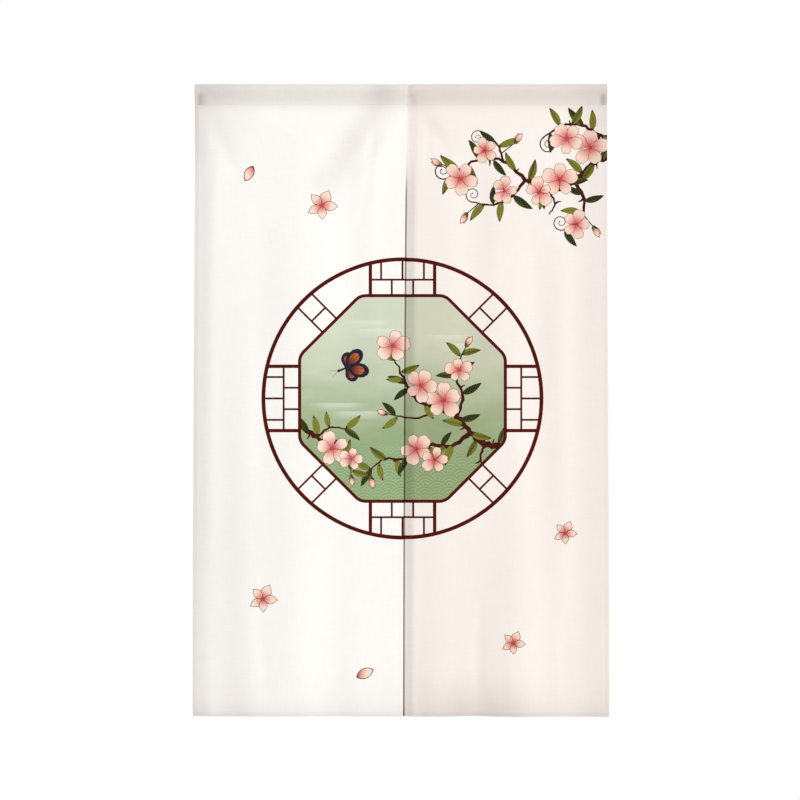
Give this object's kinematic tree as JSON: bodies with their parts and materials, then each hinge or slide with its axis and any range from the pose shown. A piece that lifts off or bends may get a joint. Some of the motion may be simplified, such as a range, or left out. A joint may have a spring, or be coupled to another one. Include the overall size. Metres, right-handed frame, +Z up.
{
  "type": "noren curtain",
  "caption": "Printed two-panel door curtain in pale linen-look cloth, hung from a flattened rod pocket, the left panel lapping over the right one",
  "frame": {"origin": "the middle of the curtain's top edge, where the rod pocket is folded over", "axes": "+Z up, the front with the print faces -Y, +X to the right seen from the front"},
  "size_m": [0.8566, 0.0176, 1.3],
  "materials": {
    "panel_cloth": "matt plain-woven linen-look cloth, off-white, with a print in dark red, pale green, pink and leaf green",
    "heading_cloth": "the same cloth, turned over and stitched down as the rod pocket"
  },
  "bodies": {
    "root": {"heading_left": "heading_cloth", "heading_right": "heading_cloth", "panel_left": "panel_cloth", "panel_right": "panel_cloth"}
  },
  "joints": []
}
